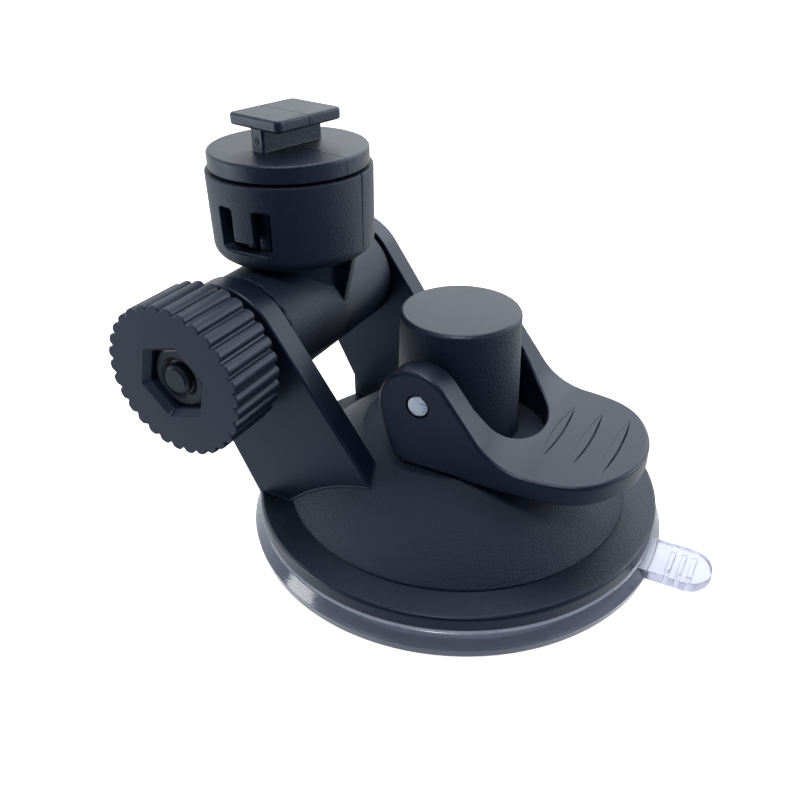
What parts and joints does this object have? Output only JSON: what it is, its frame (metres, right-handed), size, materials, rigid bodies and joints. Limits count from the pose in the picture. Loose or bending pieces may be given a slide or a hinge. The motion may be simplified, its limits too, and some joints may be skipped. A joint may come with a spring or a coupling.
{
  "type": "windscreen suction mount",
  "caption": "Suction mount for a small dash camera: lever-locked cup on a domed housing, clamped tilting socket, and a turning shoe with a T-plate that the camera slides onto.",
  "frame": {"origin": "centre of the suction cup's sealing face", "axes": "+Z away from the glass, +X towards the lever's paddle, -Y towards the clamp knob"},
  "size_m": [0.0785, 0.0628, 0.0578],
  "materials": {
    "housing_plastic": "fine spark-eroded black moulding, smooth on the arms and flange",
    "cup_vinyl": "clear soft vinyl, glossy",
    "stem_plastic": "plain black moulding",
    "spring_steel": "drawn spring wire",
    "lever_plastic": "smooth satin black moulding",
    "pin_steel": "cut end, lightly scratched",
    "socket_plastic": "fine matt black moulding",
    "shoe_plastic": "smooth satin black moulding",
    "bolt_black": "black oxide",
    "washer_steel": "black oxide",
    "knob_plastic": "satin black moulding",
    "nut_black": "black oxide"
  },
  "bodies": {
    "base": {"base_housing": "housing_plastic", "suction_cup": "cup_vinyl", "cup_web": "cup_vinyl", "return_spring": "spring_steel", "clamp_bolt": "bolt_black"},
    "stem": {"cup_stem": "stem_plastic", "cup_centre": "cup_vinyl"},
    "lever_arm": {"lever": "lever_plastic", "lever_pin": "pin_steel"},
    "socket": {"swivel_socket": "socket_plastic"},
    "shoe": {"camera_shoe": "shoe_plastic"},
    "washer": {"clamp_washer": "washer_steel"},
    "knob": {"clamp_knob": "knob_plastic", "knob_nut": "nut_black"}
  },
  "joints": [
    {"name": "stem_slide", "type": "slide", "parent": "base", "child": "stem", "axis": [0, 0, -1], "range_m": [0, 0.0022], "deforming": ["return_spring", "cup_web"]},
    {"name": "lever_turn", "type": "hinge", "parent": "stem", "child": "lever_arm", "pos_m": [0, 0, 0.0252], "axis": [0, -1, 0], "range_deg": [0, 80]},
    {"name": "socket_tilt", "type": "hinge", "parent": "base", "child": "socket", "pos_m": [-0.027, 0, 0.0297], "axis": [0, 1, 0], "range_deg": [-90, 35]},
    {"name": "shoe_turn", "type": "hinge", "parent": "socket", "child": "shoe", "pos_m": [-0.027, 0, 0.0504], "axis": [0, 0, 1], "continuous": true},
    {"name": "washer_slide", "type": "slide", "parent": "base", "child": "washer", "axis": [0, -1, 0], "range_m": [0, 0.0017]},
    {"name": "knob_turn", "type": "hinge", "parent": "washer", "child": "knob", "pos_m": [-0.027, -0.0195, 0.0297], "axis": [0, -1, 0], "range_deg": [0, 720]}
  ],
  "couplings": [
    {"joint": "stem_slide", "follows": "lever_turn", "m_per_rad": 0.0015756},
    {"joint": "washer_slide", "follows": "knob_turn", "m_per_rad": 0.00012732}
  ]
}
